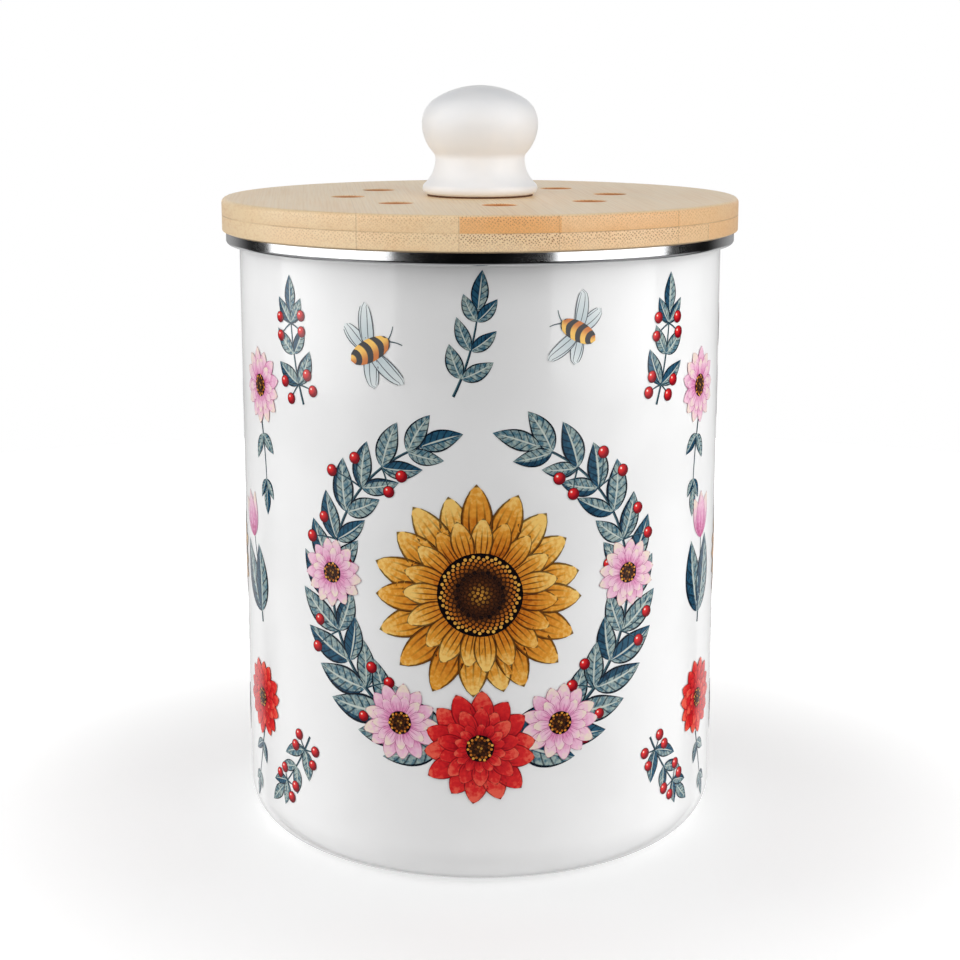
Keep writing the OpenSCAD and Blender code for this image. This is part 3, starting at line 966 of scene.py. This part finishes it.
class Garland:
    """All the inks of the print, and the motifs that are drawn with them."""

    def __init__(self):
        self.dice = random.Random(7)
        self.leaves = Ink("print_leaves", leaf_ink())
        self.stems = Ink("print_stems", stem_ink())
        self.pink = Ink("print_pink_petals", petal_ink("pink_ink", PINK, (176, 74, 128)))
        self.red = Ink("print_red_petals", petal_ink("red_ink", RED, (88, 6, 20)))
        amber_ink = petal_ink("amber_ink", AMBER, (36, 20, 16), 0.80, 4.0, 0.9, 0.85)
        self.amber = Ink("print_amber_petals", amber_ink)
        self.berries = Ink("print_berries", berry_ink())
        self.seeds = Ink("print_seeds", seed_ink())
        self.bees = Ink("print_bees", bee_ink())
        self.wings = Ink("print_bee_wings", wing_ink())

    def vary(self, value, share=0.08):
        return value * (1 + self.dice.uniform(-share, share))

    def leaf(self, start, heading, length, bend=0.0):
        self.leaves.blade(start, heading, self.vary(length), self.vary(length * 0.46), leaf_outline,
                          LEAF_LIFT + self.dice.uniform(0, 0.02), bend, self.dice.random(), rows=14)

    def sprig(self, start, heading, length, pairs, bend=0.0, berries=False):
        """A stem with pairs of leaves that get smaller towards the leaf at its tip."""
        tip = self.stems.blade(start, heading, length, 0.9, stem_outline, STEM_LIFT, bend, rows=10, columns=1)
        turn = radians(bend)
        for i in range(pairs):
            t = 0.22 + 0.66 * i / max(1, pairs - 1)
            at = Ink.spine(start, heading, length, turn, t)
            lie = heading + bend * t
            size = length * (0.46 - 0.14 * t)
            for side in (-1, 1):
                self.leaf(at, lie + side * (52 - 10 * t), size, -side * 18)
                if berries and i % 2 == 0:
                    self.berry_pair(at, lie + side * 95, length * 0.2)
        self.leaf(tip, heading + bend, length * 0.42)

    def berry_pair(self, start, heading, length):
        for spread_by in (-16, 20):
            tip = self.stems.blade(start, heading + spread_by, self.vary(length, 0.2), 0.6, stem_outline,
                                   STALK_LIFT, spread_by, rows=5, columns=1)
            self.berries.disc(tip, self.vary(1.9), BERRY_LIFT + 0.01 * (spread_by > 0), 24, 4)

    def flower(self, ink, centre, radius, petals, width, lift, layers, heart):
        """Rings of petals round a head of seeds, each ring smaller and turned against the last."""
        for layer in range(layers):
            reach = radius * (1 - 0.27 * layer)
            turn = self.dice.uniform(0, 360)
            for i in range(petals):
                a = turn + 360 * i / petals + self.dice.uniform(-3, 3)
                foot = radius * heart * 0.6
                at = off(centre, foot, radians(a))
                height = lift + LAYER_LIFT * layer + 0.004 * (i % 5)
                ink.blade(at, a, self.vary(reach - foot, 0.06), width * reach, long_petal, height,
                          self.dice.uniform(-9, 9), self.dice.random())
        self.seed_head(centre, radius * heart, lift + LAYER_LIFT * layers + 0.02)

    def seed_head(self, centre, radius, lift):
        """A disc under seeds set out by the golden angle."""
        self.seeds.disc(centre, radius, lift, 32, 3, 0.62)
        count = int(18 + radius * radius * 1.5)
        for i in range(count):
            r = sqrt((i + 0.5) / count)
            a = i * radians(137.508)
            at = off(centre, 0.93 * radius * r, a)
            self.seeds.disc(at, 0.82 * radius / sqrt(count), lift + 0.02, 8, 1, r)

    def daisy(self, centre, radius):
        self.flower(self.pink, centre, radius, 13, 0.40, 0.20, 2, 0.30)

    def dahlia(self, centre, radius):
        self.flower(self.red, centre, radius, 14, 0.42, 0.24, 3, 0.24)

    def sunflower(self, centre, radius):
        self.flower(self.amber, centre, radius, 19, 0.30, 0.12, 2, 0.40)

    def tulip(self, start, heading, length):
        """A tulip on a stem between two long leaves."""
        head = length * 0.36
        tip = self.stems.blade(start, heading, length - head, 1.1, stem_outline, STEM_LIFT, 10, rows=8,
                               columns=1)
        lie = heading + 10
        for side in (-1, 1):
            at = Ink.spine(start, heading, length - head, radians(10), 0.12)
            self.leaf(at, lie + side * 24, length * 0.56, -side * 22)
        for side in (-1, 1):
            self.pink.blade(tip, lie + side * 17, head * 0.98, head * 0.46, leaf_outline, 0.10,
                            side * 12, 0.8)
        self.pink.blade(tip, lie, head, head * 0.52, leaf_outline, 0.13, 0, 0.25)

    def bee(self, centre, heading, length):
        a = radians(heading)
        tail = off(centre, -length / 2, a)
        for side in (-1, 1):
            for back, size in ((118, 0.78), (76, 0.98)):
                self.wings.blade(centre, heading + side * back, length * size, length * 0.34, oval,
                                 WING_LIFT + 0.01 * size, -side * 14, rows=10)
            nose = off(centre, length * 0.42, a)
            self.stems.blade(nose, heading + side * 24, length * 0.34, 0.45, stem_outline, LEAF_LIFT,
                             side * 30, rows=5, columns=1)
        self.bees.blade(tail, heading, length, length * 0.46, oval, BEE_LIFT, rows=14)

    def wreath(self, centre, radius):
        """Two leafy arms with flowers, from the bottom nearly to the top, and a large flower inside."""
        for side in (-1, 1):
            start = (centre[0], centre[1] - radius)
            sweep = 158
            self.stems.blade(start, 90 - side * 90, radians(sweep) * radius, 1.4, stem_outline, STEM_LIFT,
                             side * sweep, rows=48, columns=1)
            for i in range(13):
                a = radians(-90 + side * (14 + 11.6 * i))
                at = off(centre, radius, a)
                lie = degrees(a) + side * 90
                size = 20 - 0.5 * i
                self.leaf(at, lie - side * 42, size * 1.05, side * 20)
                self.leaf(at, lie + side * 46, size * 0.85, -side * 16)
                if i in (2, 5, 8, 10):
                    self.berry_pair(at, lie - side * 78, 10)
                if i in (3, 7, 11):
                    self.berry_pair(at, lie + side * 88, 8)
            tip = (centre[0] + side * radius * sin(radians(22)),
                   centre[1] + radius * cos(radians(22)))
            self.leaf(tip, 90 + side * 68, 15, side * 8)
            for turn, size in ((31, 12.5), (94, 11)):
                self.daisy(off(centre, radius, radians(-90 + side * turn)), size)
        self.dahlia((centre[0], centre[1] - radius), 18)
        self.sunflower(centre, 33)

    def draw(self):
        around = 2 * pi * CAN_R
        for half in (0, around / 2):
            self.wreath((half, 97), 49)
            self.bee((half - 34, 171), 28, 15)
            self.bee((half + 30, 177), 152, 13)
            self.sprig((half - 8, 158), 64, 27, 3, 20)
            for side in (-1, 1):
                self.sprig((half + side * 60, 152), 90 - side * 20, 29, 3, side * 18, True)
                self.sprig((half + side * 60, 44), -90 + side * 26, 25, 3, side * 20, True)
                self.tulip((half + side * 88, 76), 90 - side * 8, 44)
                self.daisy((half + side * 85, 155), 12)
                self.sprig((half + side * 85, 144), -90 - side * 14, 22, 2, side * 12)
                self.dahlia((half + side * 89, 50), 13)
                self.sprig((half + side * 89, 38), -90 + side * 18, 19, 2)
        for side in (-1, 1):
            column = side * around / 4
            self.tulip((column, 134), 90, 44)
            self.sunflower((column, 94), 19)
            self.sprig((column, 75), -90, 24, 3, side * 10, True)
            self.daisy((column, 38), 11)
        for ink in (self.leaves, self.stems, self.pink, self.red, self.amber, self.berries, self.seeds,
                    self.bees, self.wings):
            ink.finished()


# ------------ build
def build_caddy():
    enamel, steel = white_enamel(), bright_steel()
    turned_piece("enamelled_can", can_profile(), enamel, "caddy", ["can"], closed=False)
    turned_piece("steel_rim", rim_profile(), steel, "caddy", ["rim_ring"])
    Garland().draw()


def build_lid():
    upper = bamboo("bamboo_upper", UPPER_STRIPS, PLY_JOINT_Z, LID_TOP_Z, PLY_JOINT_Z, 1.3)
    lower = bamboo("bamboo_lower", LOWER_STRIPS, SEAT_Z, PLY_JOINT_Z, PLY_JOINT_Z, 0.7)
    plug = bamboo("bamboo_plug", PLUG_STRIPS, PLUG_BOTTOM_Z, SEAT_Z, SEAT_Z, 0.8)
    piece("lid_upper_board", upper_ply_mesh(), upper, "lid", ["lid_upper_ply"])
    piece("lid_lower_board", lower_ply_mesh(), lower, "lid", ["lid_lower_ply"])
    turned_piece("lid_plug_ring", plug_profile(), plug, "lid", ["plug_ring"])
    turned_piece("lipped_seal", seal_profile(), silicone(), "lid", ["seal_ring"])
    turned_piece("glazed_knob", knob_profile(), knob_glaze(), "lid", ["knob"])
    # These four solids are shown as the CAD has them
    bare = (("knob_cushion", fibre()),
            ("knob_insert", turned_metal("brass", (176, 138, 70), (214, 178, 104), 0.28)),
            ("knob_screw", turned_metal("zinc_steel", (150, 152, 156), (190, 192, 196), 0.26)),
            ("knob_washer", turned_metal("washer_steel", (156, 157, 160), (194, 195, 198), 0.3)))
    for node, material in bare:
        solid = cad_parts[node]
        solid.data.materials.clear()
        solid.data.materials.append(material)
        pieces["lid"].append(solid)


def build_tray():
    piece("filter_tray", tray_mesh(), tray_plastic(), "filter_tray", ["filter_holder"])
    felt = piece("felt_filter", felt_mesh(), charcoal_felt(), "filter_tray",
                 ["carbon_filter"])


# ------------ studio
CAMERA_BACK = 0.6645
CAMERA_UP = 0.2579
CAMERA_DOWN = radians(12.07)
CAMERA_LENS = 74.68
CAMERA_SENSOR = 36
EVEN_LIGHT = 0.07
DARK = 0.001
TABLE_R = 0.7
TABLE_GREY = 0.75

# The lamps: name, azimuth (0 is the front and 90 the right), distance, height and the height that it faces,
# in metres, then its size and its radiance. No two stand in one plane, because lamps that do lose light.
GLOSS_LAMPS = (
    ("box_in_gloss_left", -70.4, 1.03, 0.74, 0.74, (1.32, 1.5), 1.25),
    ("box_in_gloss_right", 59.1, 1.03, 0.74, 0.74, (1.07, 1.5), 1.35))
MATT_LAMPS = (
    ("box_left", -70.4, 1.0, 0.45, 0.45, (1.28, 0.9), 0.95),
    ("box_right", 59.1, 1.0, 0.45, 0.45, (1.04, 0.9), 1.05),
    ("side_left", -100, 1.0, 0.5, 0.5, (0.9, 0.9), 1.05),
    ("side_right", 100, 1.0, 0.5, 0.5, (0.9, 0.9), 0.95),
    ("high_left", -45, 0.9, 0.87, 0.12, (0.7, 0.6), 0.5),
    ("high_right", 45, 0.9, 0.87, 0.12, (0.7, 0.6), 0.7),
    ("behind_left", -150, 1.1, 0.45, 0.45, (0.8, 0.8), 0.9),
    ("behind_right", 150, 1.1, 0.45, 0.45, (0.8, 0.8), 0.9))
LID_LAMPS = (
    ("lid_front_low", 0, 1.2, 0.35, 0.15, (0.8, 0.5), 1.3),
    ("lid_front_high", 0, 0.95, 0.8, 0.15, (0.9, 0.5), 1.5),
    ("lid_over", 0, 0.1, 1.3, 0.2, (0.6, 0.6), 0.3))
CAN_LAMPS = (
    ("can_over_front", 0, 0.42, 1.28, 0.12, (1.0, 0.5), 1.7),
    ("can_over_left", -57.5, 0.65, 1.18, 0.12, (0.7, 0.6), 0.85),
    ("can_over_right", 57.5, 0.65, 1.18, 0.12, (0.7, 0.6), 1.2),
    ("can_strip_left", -65, 0.22, 0.2, 0.2, (0.1, 0.4), 0.78),
    ("can_strip_right", 65, 0.22, 0.2, 0.2, (0.1, 0.4), 1.05))


def place_camera():
    data = bpy.data.cameras.new("photo_view")
    data.lens = CAMERA_LENS
    data.sensor_width = CAMERA_SENSOR
    camera = in_scene("photo_view", data)
    camera.location = (0, -CAMERA_BACK, CAMERA_UP)
    camera.rotation_euler = (pi / 2 - CAMERA_DOWN, 0, 0)
    bpy.context.scene.camera = camera


def group(name, *bodies):
    """A collection of some bodies' pieces, for the lamps that light nothing else."""
    made = bpy.data.collections.new(name)
    for body in bodies:
        for one in pieces[body]:
            made.objects.link(one)
    return made


def lamp(name, azimuth, distance, height, aim_z, size, radiance, in_gloss, lights):
    """A soft box that faces the caddy, and is seen in gloss only or lights matt surfaces only."""
    data = bpy.data.lights.new(name, "AREA")
    data.shape = "RECTANGLE"
    data.size, data.size_y = size
    data.energy = radiance * 4 * size[0] * size[1]
    made = in_scene(name, data)
    a = radians(azimuth)
    made.location = (distance * sin(a), -distance * cos(a), height)
    made.rotation_euler = (pi / 2 - atan2(height - aim_z, distance), 0, a)
    made.visible_glossy = in_gloss
    made.visible_diffuse = not in_gloss
    made.visible_camera = False
    made.light_linking.receiver_collection = lights


def studio_world():
    """White to the camera; to gloss white behind the caddy and dark in front; and even light on the rest."""
    world = bpy.data.worlds.new("studio")
    bpy.context.scene.world = world
    world.use_nodes = True
    world.node_tree.nodes.clear()
    nodes = Nodes(world.node_tree)

    def light(grey):
        return nodes.value("Background", {"Color": (grey, grey, grey, 1)})

    def choose(share, a, b):
        return nodes.value("MixShader", {0: share, 1: a, 2: b})

    _, back, up = nodes.parts(nodes.value("TexCoord", output="Generated"))
    # What gloss sees: behind, a backdrop, white above the table's edge and grey below; in front, a dark room
    edge = choose(back.spread(0.5, 0.95), light(DARK), light(0.36))
    table = choose(back.spread(0.6, 0.72), light(DARK), light(0.6))
    beyond = choose(up.spread(-0.30, -0.16), table, edge)
    backdrop = choose(up.spread(-0.02, 0.05), beyond, choose(back.spread(0.85, 0.93), edge, light(0.90)))
    room = choose(up.spread(0.45, 0.85), light(DARK), light(0.6))
    side_table = choose(back.spread(-0.65, -0.25), light(DARK), light(0.30))
    in_front = choose(up.spread(-0.30, -0.16), side_table, room)
    in_gloss = choose(back.spread(0.40, 0.48), in_front, backdrop)
    mixed = choose(nodes.ray("Glossy"), light(EVEN_LIGHT), in_gloss)
    mixed = choose(nodes.ray("Transmission"), mixed, light(1.0))
    mixed = choose(nodes.ray("Camera"), mixed, light(1.0))
    nodes.node("OutputWorld", {"Surface": mixed})


def table_top():
    """A pale table top that keeps the caddy's shadow, is white to the camera where nothing shades it, and
    glows near the caddy as painted bounce light.
    """
    bm = bmesh.new()
    bmesh.ops.create_circle(bm, cap_ends=True, segments=96, radius=TABLE_R)
    made = in_scene("table_top", mesh_of("table_top", bm))
    mat = Finish("table_paint", Base_Color=(TABLE_GREY, TABLE_GREY, TABLE_GREY, 1), Roughness=1.0,
                 Specular_IOR_Level=0.0, Emission_Color=(1, 1, 1, 1))
    x, y, _ = mat.parts(mat.place())
    away = radius_at(x, y)
    seen = mat.ray("Camera").either(mat.ray("Transmission"))
    # Near the caddy the table glows to all but camera and transmission rays: painted bounce light on the
    # can's lower wall
    painted_bounce_glow = seen.math("MULTIPLY_ADD", -1, 1) * away.fall(110, 260, 0.36)
    shown = seen * away.spread(90, 320, 0.40, 1.0)
    made.data.materials.append(mat.set(Emission_Strength=painted_bounce_glow + shown))
    made.visible_glossy = False


place_camera()
build_caddy()
build_lid()
build_tray()
studio_world()
table_top()
for lamps, seen_in_gloss, lit in ((GLOSS_LAMPS, True, None), (MATT_LAMPS, False, None),
                                  (LID_LAMPS, False, group("lid_group", "lid", "filter_tray")),
                                  (CAN_LAMPS, False, group("can_group", "caddy"))):
    for row in lamps:
        lamp(*row, seen_in_gloss, lit)

bpy.context.scene.view_settings.view_transform = "Standard"
